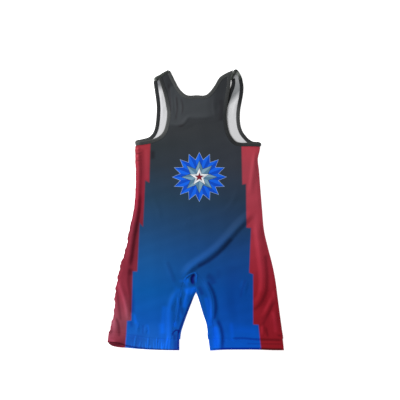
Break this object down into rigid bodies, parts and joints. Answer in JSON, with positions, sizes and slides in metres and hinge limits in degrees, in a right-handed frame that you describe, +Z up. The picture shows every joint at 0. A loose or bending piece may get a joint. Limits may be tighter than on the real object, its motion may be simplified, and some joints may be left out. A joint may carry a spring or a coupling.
{
  "type": "wrestling singlet",
  "caption": "Sleeveless one-piece wrestling singlet with short legs, laid flat chest up; bound neck and armholes, turned leg hems, front and back layers open between seams.",
  "frame": {"origin": "on the ground, in the middle of the garment's box", "axes": "+Y from the leg hems towards the shoulders, +Z up out of the chest, +X to the right of someone looking down at the chest"},
  "size_m": [0.4217, 0.6761, 0.0098],
  "materials": {
    "printed_knit": "matt stretch knit, dye printed black fading to blue with red sides, white inside",
    "binding": "matt black stretch binding",
    "overlock_thread": "dark overlock stitching"
  },
  "bodies": {
    "root": {"front_panel": "printed_knit", "back_panel": "printed_knit", "inner_leg_left": "printed_knit", "inner_leg_right": "printed_knit", "neck_binding_front": "binding", "neck_binding_back": "binding", "armhole_binding_left": "binding", "armhole_binding_right": "binding", "leg_hem_left": "printed_knit", "leg_hem_right": "printed_knit", "shoulder_seam_left": "overlock_thread", "shoulder_seam_right": "overlock_thread"}
  },
  "joints": []
}
